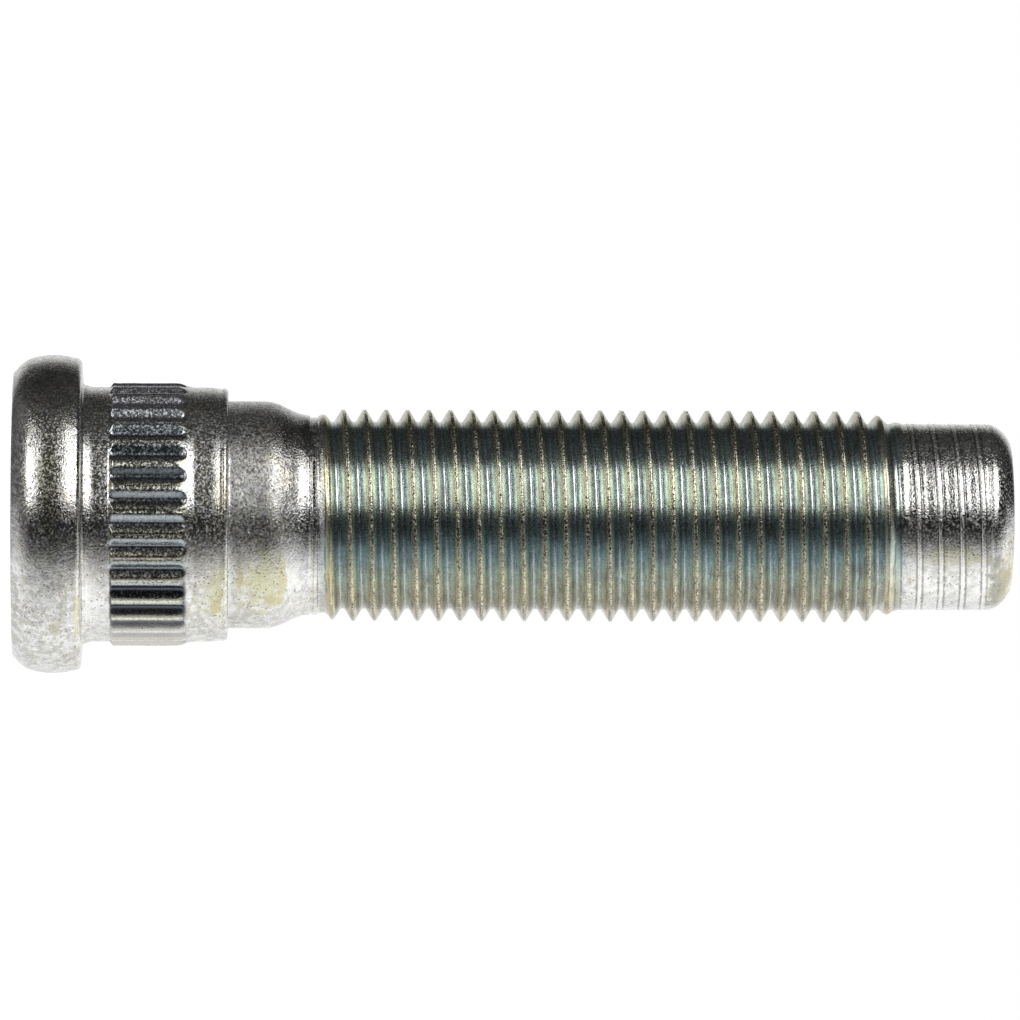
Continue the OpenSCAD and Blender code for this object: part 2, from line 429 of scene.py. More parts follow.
@dataclass
class Thread:
    """The rolled right-hand thread, with its run-in, its fading end and the trace on the lead point."""

    crest_r: float
    root_r: float
    neck_r: float
    lead_r: float
    low: float
    high: float
    end: float
    pitch: float = 1.27
    flank_angle: float = math.radians(60)
    near_crest: float = 19.83
    crest_share: float = 0.14
    rise: float = 0.6
    fade: float = 2.3
    squeeze: float = 0.5
    lead_share: float = 0.2
    scratch: float = 0.13
    seam_row: int = 8
    steps: int = 128
    lips: tuple[float, ...] = (-0.018, 0.006, 0.022, 0.018, 0.005, *(0.0,) * 7, -0.022, 0.022, 0.04)

    def __post_init__(self) -> None:
        """Works out the edges of the thread form within one pitch."""
        flank = (self.crest_r - self.root_r) * math.tan(self.flank_angle / 2)
        crest = self.crest_share * self.pitch
        self.lead = self.lead_share * self.pitch
        crest_mid = flank + crest / 2
        root_half = (self.pitch - crest_mid - flank - crest / 2) / 2
        half, flat, edge = self.pitch / 2, crest / 2, flank
        # Heights above the middle of the root and the share of the full thread depth there
        self.form = [
            (0.0, 0.0),
            (root_half * 0.75, 0.02),
            (root_half * 1.35, 0.10),
            (root_half + edge * 0.33, 0.32),
            (root_half + edge * 0.62, 0.61),
            (root_half + edge * 0.8, 0.78),
            (half - flat * 1.3, 0.84),
            (half - flat * 0.8, 0.99),
            (half + flat * 0.05, 0.95),
            (half + flat * 0.9, 0.99),
            (half + flat * 1.4, 0.84),
            (self.pitch - root_half - edge * 0.8, 0.78),
            (self.pitch - root_half - edge * 0.55, 0.54),
            (self.pitch - root_half - edge * 0.22, 0.21),
            (self.pitch - root_half * 1.2, 0.075),
        ]
        self.root_mid = -(root_half + edge + flat) + crest_mid

    def start_at(self, start: float) -> float:
        """Sets the first level ring, and turns the helix so that a crest lies at its place.

        Args:
            start: Height of the first level ring.

        Returns:
            The angle of the helix's first point, in radians.
        """
        rise = self.near_crest - start - self.lead + self.pitch / 2 - self.root_mid
        self.start = start
        self.first_angle = -TURN / 4 - TURN * (rise / self.pitch)
        return self.first_angle

    def root_at(self, z: float) -> float:
        """Returns the radius of the root at a height above the start of the thread."""
        scratch = self.scratch * smooth(-1.1, -0.8, z)
        depth = self.neck_r - self.root_r - scratch
        cut = self.neck_r - scratch - depth * smooth(0.0, self.rise, z)
        return mix(cut, self.lead_r, smooth(self.high - self.low - self.fade, self.high - self.low, z))

    def crest_at(self, z: float) -> float:
        """Returns the radius of the crest at a height above the start of the thread."""
        full = mix(self.neck_r, self.crest_r, smooth(-0.3, 1.1, z))
        length = self.high - self.low
        return mix(full, self.lead_r, min(1.0, max(0.0, (z - length + self.fade) / self.fade)))

    def squeezed(self, z: float) -> float:
        """Presses the turn beyond each end of the thread together, so that it ends level.

        Args:
            z: Height along the endless helix, above the first level ring.

        Returns:
            The height at which the point lies.
        """
        length = self.end - self.start
        share = self.squeeze / (self.squeeze + self.pitch)
        if z < self.squeeze:
            return (z + self.pitch) * share
        if z > length - self.squeeze:
            return length - (length + self.pitch - z) * share
        return z

    def trace(self, z: float, row: int, angle: float) -> float:
        """Height of the shallow helical trace on the lead point.

        Args:
            z: Height above the start of the thread.
            row: Number of the edge in the thread form.
            angle: Angle around the axis, in radians.

        Returns:
            The offset from the lead point's radius.
        """
        there = smooth(self.high - self.low - 1.2, self.high - self.low - 0.2, z)
        uneven = 1.0 + 0.5 * grain(angle, 4.0, z, 2.5, 12.0)
        return there * uneven * self.lips[row]

    def point(self, step: int, row: int) -> Point:
        """One point of the thread surface.

        Args:
            step: Steps up the helix.
            row: Number of the edge in the thread form.

        Returns:
            Distance from the axis, angle and height of the point.
        """
        offset, share = self.form[row]
        angle = self.first_angle + TURN * step / self.steps
        raw = self.lead + self.pitch * (step / self.steps - 1) + self.root_mid + offset
        z = self.squeezed(raw) + self.start
        above = z - self.low if raw > self.squeeze else raw + self.start - self.low
        root, crest = self.root_at(above), self.crest_at(above)
        seam = 1.0
        if row == self.seam_row:
            seam = 0.985 + 0.1 * grain(angle, self.crest_r, z, 0.9, 5.0)
        rough = 0.03 * grain(angle, self.crest_r, z, 0.4, 1.0) * smooth(0.8, 1.0, share)
        radius = mix(root, crest, share * min(1.0, seam)) + rough * smooth(0.0, 0.5, crest - root)
        radius += self.trace(above, row, angle) + 0.004 * grain(angle, radius, z, 1.4, 8.0)
        wander = 0.018 * grain(angle, self.crest_r, z, 0.8, 11.0) * smooth(0.8, 1.0, share)
        return min(radius, self.crest_r), angle, z + wander * smooth(0.1, 0.6, crest - root)

    def build(self, maker: MeshMaker) -> tuple[list[int], list[int]]:
        """Adds the whole helical surface.

        Args:
            maker: The surface to add to.

        Returns:
            The first and the last level ring of points.
        """
        start, rows, steps = self.start, len(self.form), self.steps
        last = int(steps * (self.end - start + self.pitch - 2 * self.lead) / self.pitch)
        helix = [maker.add(*self.point(s, 0)) for s in range(last + steps + 1)]
        edges = [[maker.add(*self.point(s, r)) for s in range(last + 1)] for r in range(1, rows)]

        def at(step: int, row: int) -> int:
            """Returns the number of a point, where the row after the last is the next turn's first."""
            if row == 0:
                return helix[step]
            return helix[step + steps] if row == rows else edges[row - 1][step]

        root = self.root_at(start - self.low)
        turned = [self.first_angle + TURN * s / steps for s in range(steps)]
        low = [maker.add(root, a, start) for a in turned]
        turned = [self.first_angle + TURN * (last + s) / steps for s in range(steps)]
        high = [maker.add(self.lead_r, a, self.end) for a in turned]
        for s in range(last):
            for r in range(rows):
                maker.faces.append((at(s, r), at(s + 1, r), at(s + 1, r + 1), at(s, r + 1)))
        for s in range(steps - 1):
            maker.faces.append((low[s], low[s + 1], helix[s + 1], helix[s]))
        seam = [at(0, r) for r in range(rows + 1)]
        maker.faces.append((low[-1], low[0], helix[0], helix[steps - 1]))
        maker.faces += [(seam[r], seam[r + 1], helix[steps - 1]) for r in range(rows)]
        for s in range(1, steps - 1):
            maker.faces.append((helix[last + s], helix[last + s + 1], high[s + 1], high[s]))
        maker.faces.append((helix[last + steps - 1], helix[last + steps], high[0], high[-1]))
        seam = [at(last, r) for r in range(rows + 1)]
        maker.faces += [(seam[r + 1], seam[r], helix[last + 1]) for r in range(rows)]
        maker.faces.append((helix[last + 1], high[1], high[0], helix[last + steps]))
        return low, high


@dataclass
class LeadEnd:
    """The rounded end of the lead point."""

    radius: float
    top: float
    tip_r: float = 4.45
    height: float = 1.15
    arc_r: float = 2.0
    rim: float = 0.12

    def section(self) -> Section:
        """Returns the half section from the plain lead point to the flat end."""
        points = arc((self.radius, self.top - self.height), (self.tip_r, self.top), self.arc_r, 9)[1:]
        points += [(self.tip_r - self.rim, self.top)]
        points += [(self.tip_r * share, self.top) for share in (0.8, 0.5, 0.2)]
        return points


@dataclass(frozen=True)
class Sock:
    """A shader socket that takes part in Python expressions."""

    nodes: "Nodes"
    link: Any

    @staticmethod
    def _math(operation: str, swapped: bool = False) -> Callable[..., "Sock"]:
        """Makes a method that adds a Math node, with its two values swapped where asked."""
        def method(self: "Sock", *others: Any) -> "Sock":
            """Returns the result of the operation on this value and the others."""
            values = (*others, self) if swapped else (self, *others)
            return self.nodes.add("ShaderNodeMath", {"operation": operation}, dict(enumerate(values)))

        return method

    __add__ = __radd__ = _math("ADD")
    __mul__ = __rmul__ = _math("MULTIPLY")
    __sub__ = _math("SUBTRACT")
    __rsub__ = _math("SUBTRACT", True)
    __truediv__ = _math("DIVIDE")
    __pow__ = _math("POWER")
    fraction = _math("FRACT")
    maximum = _math("MAXIMUM")

    def rise(self, low: float, high: float) -> "Sock":
        """Rises softly from 0 to 1 while the value goes from low to high.

        Args:
            low: Where the rise begins.
            high: Where it ends. It may lie below low, for a fall.

        Returns:
            The share between 0 and 1.
        """
        first, last = (0.0, 1.0) if low < high else (1.0, 0.0)
        sockets = {"Value": self, "From Min": min(low, high), "From Max": max(low, high)}
        sockets |= {"To Min": first, "To Max": last}
        return self.nodes.add("ShaderNodeMapRange", {"interpolation_type": "SMOOTHSTEP"}, sockets)


class Blend(Enum):
    """How one colour is laid over another."""

    MIX = "MIX"
    MULTIPLY = "MULTIPLY"


class Nodes:
    """Adds nodes to one node tree."""

    def __init__(self, tree: bpy.types.NodeTree) -> None:
        """Takes over a node tree and empties it."""
        self.tree = tree
        tree.nodes.clear()

    def add(self, kind: str, settings: Optional[dict[str, Any]] = None,
            inputs: Optional[dict[Any, Any]] = None, output: Any = 0) -> Any:
        """Adds one node.

        Args:
            kind: The node's type.
            settings: Its own properties, set first. The stops of a ramp are given as "stops".
            inputs: Values or links for its sockets, by name or number.
            output: Name or number of the output wanted, or a tuple of them.

        Returns:
            That output, or a tuple of outputs.
        """
        node = self.tree.nodes.new(kind)
        for key, value in (settings or {}).items():
            if key == "stops":
                self._set_stops(node.color_ramp, value)
            else:
                setattr(node, key, value)
        for key, value in (inputs or {}).items():
            socket = node.inputs[key]
            if isinstance(value, Sock):
                self.tree.links.new(value.link, socket)
            else:
                socket.default_value = value
        if isinstance(output, tuple):
            return tuple(Sock(self, node.outputs[name]) for name in output)
        return Sock(self, node.outputs[output] if len(node.outputs) else None)

    @staticmethod
    def _set_stops(ramp: bpy.types.ColorRamp, stops: list[Stop]) -> None:
        """Gives a colour ramp its stops.

        Args:
            ramp: The ramp.
            stops: Place and colour of each stop.
        """
        while len(ramp.elements) < len(stops):
            ramp.elements.new(1.0)
        for element, (place, colour) in zip(ramp.elements, stops):
            element.position = place
            element.color = (*colour, 1.0)

    def blend(self, share: Any, first: Any, second: Any, how: Blend = Blend.MIX) -> Sock:
        """Mixes two colours.

        Args:
            share: How much of the second colour is used.
            first: The first colour.
            second: The second colour.
            how: How the second is laid over the first.

        Returns:
            The mixed colour.
        """
        def colour(value: Any) -> Any:
            """Gives a plain colour its fourth channel."""
            return value if isinstance(value, Sock) else (*value, 1.0)

        settings = {"data_type": "RGBA", "blend_type": how.value, "clamp_factor": True}
        return self.add("ShaderNodeMix", settings, {0: share, 6: colour(first), 7: colour(second)}, 2)

    def ramp(self, share: Sock, stops: list[Stop]) -> Sock:
        """Adds a colour ramp with these stops, and returns its colour at the share."""
        return self.add("ShaderNodeValToRGB", {"stops": stops}, {"Fac": share})

    def noise(self, place: Sock, scale: float, detail: float = 2.0, roughness: float = 0.5,
              distortion: float = 0.0) -> Sock:
        """Adds a noise texture, with scale in grains to the millimetre, and returns its value."""
        inputs = {"Vector": place, "Scale": scale, "Detail": detail, "Roughness": roughness}
        return self.add("ShaderNodeTexNoise", {}, inputs | {"Distortion": distortion}, "Fac")


@dataclass(frozen=True)
class StainLightOrShade:
    """A patch of colour on the camera's side. Some patches are discolouring, some painted highlights and
    some painted shade. z runs along the stud, height up the picture.
    """

    z: float
    height: float
    half_length: float
    half_height: float
    colour: Colour
    strength: float


@dataclass(frozen=True)
class ZincPlate:
    """Bright zinc plate over rolled steel, with the faint colours of a thin clear film, and colours for
    painted light and shade.
    """

    name: str = "zinc_plate"
    white: Colour = (1.0, 1.0, 1.0)
    zinc: Colour = (0.86, 0.85, 0.82)
    white_zinc_and_highlight: Colour = (0.95, 0.95, 0.93)
    straw: Colour = (0.76, 0.69, 0.45)
    olive: Colour = (0.68, 0.66, 0.47)
    pale_blue: Colour = (0.80, 0.84, 0.86)
    violet: Colour = (0.60, 0.57, 0.60)
    crest: Colour = (0.57, 0.56, 0.46)
    cream: Colour = (0.86, 0.84, 0.62)
    pale_green: Colour = (0.76, 0.90, 0.90)
    root_blue: Colour = (0.64, 0.73, 0.76)
    sage: Colour = (0.57, 0.65, 0.56)
    wall_lit_blue: Colour = (0.50, 0.56, 0.60)
    wall_half_shade: Colour = (0.27, 0.31, 0.35)
    wall_shade: Colour = (0.08, 0.085, 0.10)
    olive_shade: Colour = (0.36, 0.34, 0.25)
    dusk_shade: Colour = (0.74, 0.77, 0.82)
    lower_blue_sheen: Colour = (0.80, 0.88, 0.97)
    lower_grey_sheen: Colour = (0.90, 0.90, 0.88)
    lower_warm_sheen: Colour = (0.88, 0.80, 0.72)
    upper_straw_sheen: Colour = (0.86, 0.82, 0.62)
    brown: Colour = (0.60, 0.54, 0.29)
    moss: Colour = (0.76, 0.75, 0.52)
    dull_straw: Colour = (0.60, 0.59, 0.46)
    soot_and_shade: Colour = (0.08, 0.075, 0.07)
    brushed: float = 0.5
    brushed_turn: float = 0.25
    bump_m: float = 0.000018
    ramp_length: float = 60.0
    ramp_width: float = 14.0
    rounding_low: float = 57.3
    rounding_high: float = 57.9

    def stains_light_and_shade(self) -> tuple[StainLightOrShade, ...]:
        """Returns the blotches of discolouring, the painted highlights and the painted shade, in the
        order in which they are laid on.
        """
        # The white zinc patches are painted highlights, and the near-black patches on the lit and the
        # dark bands are painted shade
        return (
            StainLightOrShade(2.6, -6.8, 0.6, 0.7, self.brown, 0.3),
            StainLightOrShade(2.4, 7.4, 1.7, 1.5, self.soot_and_shade, 0.4),
            StainLightOrShade(3.85, -6.0, 0.16, 1.8, self.straw, 0.8),
            StainLightOrShade(2.25, 2.0, 0.75, 3.4, self.dull_straw, 0.9),
            StainLightOrShade(12.0, -4.4, 0.8, 1.9, self.moss, 0.8),
            StainLightOrShade(12.2, -4.6, 0.35, 0.8, self.brown, 0.45),
            StainLightOrShade(14.9, -3.9, 1.6, 2.1, self.moss, 0.85),
            StainLightOrShade(12.3, 1.2, 0.5, 1.6, self.straw, 0.5),
            StainLightOrShade(13.9, -3.0, 0.35, 0.7, self.brown, 0.4),
            StainLightOrShade(15.7, -3.9, 0.4, 1.5, self.brown, 0.5),
            StainLightOrShade(17.74, -3.4, 0.06, 3.0, self.brown, 0.6),
            StainLightOrShade(18.42, 0.0, 0.06, 4.6, self.soot_and_shade, 0.7),
            StainLightOrShade(18.7, -3.4, 0.25, 3.4, self.brown, 0.6),
            StainLightOrShade(18.6, 2.2, 0.3, 3.4, self.straw, 0.6),
            StainLightOrShade(2.2, 2.0, 1.1, 2.0, self.soot_and_shade, 0.15),
            StainLightOrShade(11.6, 1.9, 0.9, 1.5, self.soot_and_shade, 0.25),
            StainLightOrShade(15.2, 1.4, 1.6, 1.4, self.soot_and_shade, 0.3),
            StainLightOrShade(16.6, 2.1, 0.3, 1.8, self.soot_and_shade, 0.6),
            StainLightOrShade(2.0, -5.2, 1.9, 2.6, self.soot_and_shade, 0.16),
            StainLightOrShade(11.5, -4.9, 1.0, 1.8, self.dull_straw, 0.35),
            StainLightOrShade(14.2, -3.9, 1.2, 1.1, self.moss, 0.55),
            StainLightOrShade(16.3, -3.9, 0.9, 1.6, self.white_zinc_and_highlight, 0.6),
            StainLightOrShade(58.3, -4.2, 0.9, 2.0, self.dull_straw, 0.75),
            StainLightOrShade(14.6, -1.0, 1.7, 1.2, self.soot_and_shade, 0.35),
            StainLightOrShade(12.8, -1.6, 0.22, 4.6, self.white_zinc_and_highlight, 0.9),
            StainLightOrShade(17.8, 2.1, 0.18, 1.8, self.soot_and_shade, 0.6),
            StainLightOrShade(17.2, 2.4, 0.25, 1.4, self.white_zinc_and_highlight, 0.8),
            StainLightOrShade(52.6, 2.5, 0.5, 1.2, self.white_zinc_and_highlight, 0.75),
            StainLightOrShade(54.2, 2.5, 0.25, 1.4, self.soot_and_shade, 0.35),
            StainLightOrShade(58.3, -3.8, 0.8, 2.2, self.soot_and_shade, 0.4),
            StainLightOrShade(16.4, 4.9, 1.3, 1.2, self.soot_and_shade, 0.5),
            StainLightOrShade(17.4, 4.7, 0.5, 1.2, self.soot_and_shade, 0.6),
            StainLightOrShade(1.0, 4.2, 0.6, 0.9, self.soot_and_shade, 0.4),
            StainLightOrShade(55.5, -2.3, 2.0, 0.7, self.moss, 0.6),
            StainLightOrShade(13.4, -3.8, 0.25, 1.0, self.brown, 0.6),
            StainLightOrShade(15.9, -4.0, 0.3, 1.5, self.brown, 0.6),
            StainLightOrShade(15.2, -4.9, 0.8, 0.35, self.brown, 0.5),
            StainLightOrShade(11.9, -5.2, 0.4, 0.6, self.brown, 0.5),
            StainLightOrShade(4.7, -5.2, 0.6, 2.0, self.white_zinc_and_highlight, 0.7),
            StainLightOrShade(58.9, -3.6, 0.6, 2.6, self.brown, 0.5),
        )

    def across_pitch(self) -> list[Stop]:
        """Returns the colours of the thread, from one crest to the next."""
        return [
            (0.01, self.cream), (0.13, self.cream), (0.22, self.sage), (0.4, self.sage),
            (0.46, self.root_blue), (0.52, self.sage), (0.57, self.pale_green), (0.72, self.pale_green),
            (0.82, self.olive), (0.88, self.olive), (0.92, self.crest), (0.97, self.crest),
        ]

    def across_tooth_lit_and_shaded(self) -> list[Stop]:
        """Returns the colours from one serration's tip over the groove to the next: painted light on one
        wall, painted shade on the floor and on the other wall.
        """
        return [
            (0.0, self.zinc), (0.06, self.cream), (0.1, self.wall_lit_blue), (0.3, self.wall_lit_blue),
            (0.46, self.wall_half_shade), (0.54, self.wall_shade), (0.68, self.wall_shade),
            (0.78, self.olive_shade), (0.93, self.olive_shade), (0.98, self.zinc),
        ]

    def light_and_shade_across_stud(self) -> list[Stop]:
        """Returns the painted light and shade of the thread's flanks by their place along X: full in the
        lit band, dimmer in the dark bands, and painted reflections in tints towards the upper and the
        lower edge.
        """
        return [
            (-5.7, self.upper_straw_sheen), (-5.1, self.dusk_shade), (-4.0, self.dusk_shade), (-2.6, self.white),
            (-0.4, self.white), (0.4, self.dusk_shade), (1.4, self.lower_blue_sheen), (2.4, self.lower_blue_sheen),
            (3.6, self.lower_grey_sheen), (4.9, self.lower_warm_sheen),
        ]

    def build(self, thread: Thread, band: Serrations) -> bpy.types.Material:
        """Makes the material. The thread and the serrations give it its radii, pitch and heights."""
        material = bpy.data.materials.new(self.name)
        material.use_nodes = True
        Coat(self, Nodes(material.node_tree), thread, band).build()
        return material


class Coat:
    """The nodes of the zinc plate, whose colour is laid on in layers, some of them painted light and
    shade.

    helix is the share of the pitch from one crest to the next, and tooth the share from one
    serration's tip to the next. threaded, crest, serrated and valley are 1 on the zone that they
    name and 0 elsewhere, smoothed is 1 where rolling has smoothed the steel, and below is 1 on the
    lower half of the plain zones.
    """

    def __init__(self, plate: ZincPlate, nodes: Nodes, thread: Thread, band: Serrations) -> None:
        """Works out where the shaded point lies, and what marks it.

        Args:
            plate: The colours and the settings of the plate.
            nodes: The node tree.
            thread: The thread, for its radii, pitch and heights.
            band: The serrations, for their radii and heights.
        """
        self.plate, self.nodes, self.thread = plate, nodes, thread
        metres = nodes.add("ShaderNodeTexCoord", output="Object")
        multiply = {"operation": "MULTIPLY"}
        self.place = nodes.add("ShaderNodeVectorMath", multiply, {0: metres, 1: (1 / MM,) * 3})
        x, y, z = nodes.add("ShaderNodeSeparateXYZ", {}, {0: self.place}, ("X", "Y", "Z"))
        self.x, self.y, self.z = x, y, z
        radius = (x * x + y * y) ** 0.5
        turn = nodes.add("ShaderNodeMath", {"operation": "ARCTAN2"}, {0: y, 1: x}) / TURN
        # Whole turns are added so that the fraction is taken of a positive number
        self.helix = ((z - thread.near_crest) / thread.pitch - turn - 0.25 + 60.0).fraction()
        self.tooth = ((turn - band.first_angle / TURN) * float(band.count)).fraction()
        begun = z.rise(thread.low - 0.3, thread.low + 0.2)
        self.threaded = begun * z.rise(thread.high + 0.1, thread.high - 0.6)
        depth = (radius - thread.root_r) / (thread.crest_r - thread.root_r)
        self.crest = depth.rise(0.8, 0.95) * self.threaded
        self.serrated = z.rise(band.low, band.low + 0.15) * z.rise(band.high + 0.1, band.high - 0.2)
        self.valley = self.serrated * radius.rise(band.tip_r - 0.04, band.tip_r - 0.13)
        self.smoothed = (self.threaded * (1.0 - self.crest)).maximum(self.valley * 0.35)
        self.below = x.rise(1.5, 3.5) * (1.0 - self.threaded) * (1.0 - self.serrated)
        self.wound = begun * z.rise(58.0, 57.6)
        cells = nodes.add("ShaderNodeTexVoronoi", {"feature": "F1"}, {"Vector": self.place, "Scale": 4.5})
        self.pits = cells.rise(0.36, 0.14) * self._noise(0.9).rise(0.42, 0.6)
        self._mark()

    def build(self) -> None:
        """Lays on the layers and adds the shader."""
        self._lay_film()
        self._lay_stains_light_and_shade()
        self._lay_specks()
        self._lay_light_and_shade()
        self._lay_marks_with_light_and_shade()
        bump = {"Strength": 1.0, "Distance": self.plate.bump_m, "Height": self._height()}
        shader = self.nodes.add("ShaderNodeBsdfPrincipled", {}, {
            "Base Color": self.colour, "Metallic": 1.0, "Roughness": self._roughness(),
            "Normal": self.nodes.add("ShaderNodeBump", {}, bump),
            "Anisotropic": self.plate.brushed, "Anisotropic Rotation": self.plate.brushed_turn,
        })
        self.nodes.add("ShaderNodeOutputMaterial", {}, {"Surface": shader})

    def _noise(self, *settings: float) -> Sock:
        """Returns noise at the shaded point."""
        return self.nodes.noise(self.place, *settings)

    def _lay(self, share: Sock, colour: Any, how: Blend = Blend.MIX) -> None:
        """Lays a colour over the layers so far, by that share."""
        self.colour = self.nodes.blend(share, self.colour, colour, how)

    def _mark(self) -> None:
        """Works out the fine lines of rolling, and the edges and the ridge of the helical trace. The
        edges also reach the thread's flanks and carry painted shade, and the ridge carries a painted
        highlight.
        """
        x, y, z, helix, thread = self.x, self.y, self.z, self.helix, self.thread
        along = helix * thread.pitch * self.wound + z * (1.0 - 0.8 * self.wound)
        where = {0: along, 1: x * 0.1 + z * 0.13, 2: y * 0.1}
        self.lines = self.nodes.noise(self.nodes.add("ShaderNodeCombineXYZ", {}, where), 5.5, 2.0, 0.6)
        unrounded = z.rise(self.plate.rounding_high, self.plate.rounding_low)
        self.plain = z.rise(thread.high + 0.1, thread.high + 0.6) * unrounded
        edges = helix.rise(0.2, 0.26) * helix.rise(0.33, 0.29)
        edges = edges + helix.rise(0.47, 0.52) * helix.rise(0.62, 0.56)
        self.edges = edges * z.rise(thread.low + 0.2, thread.low + 0.6) * unrounded
        self.ridge = helix.rise(0.3, 0.35) * helix.rise(0.47, 0.42) * self.plain

    def _lay_film(self) -> None:
        """Starts with the film, and its tints on the serrations and on the thread, with painted light and
        shade on the grooves' walls and on the thread's flanks.
        """
        plate, z, threaded = self.plate, self.z, self.threaded
        clouds = self._noise(0.3, 4.0, 0.6).rise(0.42, 0.6)
        self.colour = self.nodes.blend(clouds * 0.5, plate.zinc, plate.pale_blue)
        self._lay(self._noise(1.1, 4.0, 0.65).rise(0.48, 0.64) * 0.4, plate.straw)
        self._lay(z.rise(1.0, 0.1) * 0.6, plate.violet)
        self._lay(z.rise(53.2, 53.8) * 0.75, plate.white_zinc_and_highlight)
        self._lay(threaded, self.nodes.ramp(self.helix, plate.across_pitch()))
        shade = self._noise(0.8, 5.0, 0.7, 0.6).rise(0.58, 0.38)
        self._lay(shade * 0.4, tuple(0.45 * c for c in plate.zinc))
        mottled = self._noise(2.0, 3.0, 0.6).rise(0.56, 0.38) * (1.0 - threaded) * 0.3
        self._lay(mottled, tuple(0.5 * c for c in plate.zinc))
        # Painted light and shade on the walls and floors of the serrations' grooves
        self._lay(self.serrated * 0.9, self.nodes.ramp(self.tooth, plate.across_tooth_lit_and_shaded()))
        # The flanks get painted light and shade by their height in the picture
        width = plate.ramp_width
        stops = [(place / width + 0.5, colour) for place, colour in plate.light_and_shade_across_stud()]
        flank_light_and_shade = self.nodes.ramp(self.x / width + 0.5, stops)
        self._lay(threaded * (1.0 - self.crest), flank_light_and_shade, Blend.MULTIPLY)

    def _lay_stains_light_and_shade(self) -> None:
        """Mottles the lower half of the plain zones, with white patches that are painted light, and adds
        the discolouring, the painted highlights and the painted shade.
        """
        mottle = self._noise(2.2, 3.0, 0.7)
        # Painted light: white patches only on the lower half, where the pale tent is mirrored
        self._lay(mottle.rise(0.5, 0.58) * self.below * 0.8, self.plate.white_zinc_and_highlight)
        dull = mottle.rise(0.46, 0.38) * self.below * self.z.rise(15.6, 15.0)
        self._lay(dull * 0.6, self.plate.dull_straw)
        ragged = self._noise(1.1, 5.0, 0.75)
        near = self.y.rise(0.5, -0.5)
        # Discolouring, painted highlights and painted shade, on the camera's side
        for stain_or_light in self.plate.stains_light_and_shade():
            along = (self.z - stain_or_light.z) / stain_or_light.half_length
            across = (self.x + stain_or_light.height) / stain_or_light.half_height
            reach = (along * along + across * across) ** 0.5 + (ragged - 0.5) * 2.8
            self._lay(reach.rise(1.1, 0.4) * near * stain_or_light.strength, stain_or_light.colour)

    def _lay_specks(self) -> None:
        """Adds the dark specks and the pits, and painted shade: denser specks on the upper part of the
        lead point, fewer on the lower half of the plain zones and larger dark specks on the upper half.
        """
        x, soot_and_shade = self.x, self.plate.soot_and_shade
        point = self.z.rise(self.thread.high - 0.2, self.thread.high + 0.4)
        share = 0.46 + 0.55 * self.crest - 0.12 * self.smoothed + 0.1 * self.serrated
        # Painted shade: on the lead point the specks are denser on its upper part
        share = share + point * (0.25 * x.rise(2.4, 0.8) - 0.27)
        speckle = self._noise(7.0, 3.0, 0.75).rise(0.34, 0.6)
        self._lay((1.0 - speckle) * share * (1.0 - 0.4 * self.below), soot_and_shade)
        self._lay(self.pits * 0.6 * (1.0 - self.smoothed), soot_and_shade)
        # Painted shade: larger dark specks on the upper half only
        coarse_painted_shade = self._noise(4.5, 3.0, 0.8).rise(0.54, 0.42) * x.rise(3.2, 0.6)
        self._lay(coarse_painted_shade * (1.0 - self.threaded) * (1.0 - 0.6 * self.valley) * 0.45, soot_and_shade)

    def _lay_light_and_shade(self) -> None:
        """Adds painted shade in the grooves on the lower part of the band, and painted light and shade
        towards the upper and the lower edge of the band and of the thread.
        """
        x, plate = self.x, self.plate
        # Painted shade: the grooves are darker on the lower part of the band
        self._lay(self.valley * x.rise(3.6, 4.1) * x.rise(6.3, 6.0) * 0.85, plate.wall_shade)
        # Painted light at the band's lower edge, painted shade at its upper edge and near both edges of
        # the thread
        self._lay(self.serrated * x.rise(6.3, 6.9) * 0.5, plate.zinc)
        self._lay(self.serrated * x.rise(-5.0, -6.0) * 0.5, plate.violet)
        self._lay(self.threaded * (x.rise(-5.2, -5.8) * 0.6 + x.rise(5.4, 6.0) * 0.3), plate.olive_shade)

    def _lay_marks_with_light_and_shade(self) -> None:
        """Draws the marks of rolling and turning, with painted shade along the edges of the trace and on
        the thread's flanks, and a painted highlight on the ridge.
        """
        drawn = self.lines.rise(0.5, 0.3) * (0.1 + 0.35 * self.threaded) * (1.0 - self.valley)
        self._lay(drawn, self.plate.soot_and_shade)
        # Painted shade: dotted dark lines along the edges of the trace and on the thread's flanks
        dotted_shade = self._noise(1.6, 4.0, 0.7).rise(0.34, 0.46)
        self._lay(self.edges * dotted_shade * self.wound * (0.55 - 0.11 * self.threaded), self.plate.soot_and_shade)
        # Painted highlight on the ridge of the trace
        self._lay(self.ridge * 0.6, self.plate.white_zinc_and_highlight)

    def _height(self) -> Sock:
        """Returns the height of the fine relief, as a share of the bump distance."""
        turned = self.z.rise(12.5, 13.2) * self.z.rise(17.4, 16.6)
        grit = self._noise(9.0, 2.0, 0.65) - 0.5 * self.pits
        height = grit * (1.0 - 0.7 * self.smoothed + 0.7 * turned)
        height = height + self.lines * (0.1 + 0.35 * self.threaded)
        return height + (self.ridge - 0.6 * self.edges * self.plain) * 0.8

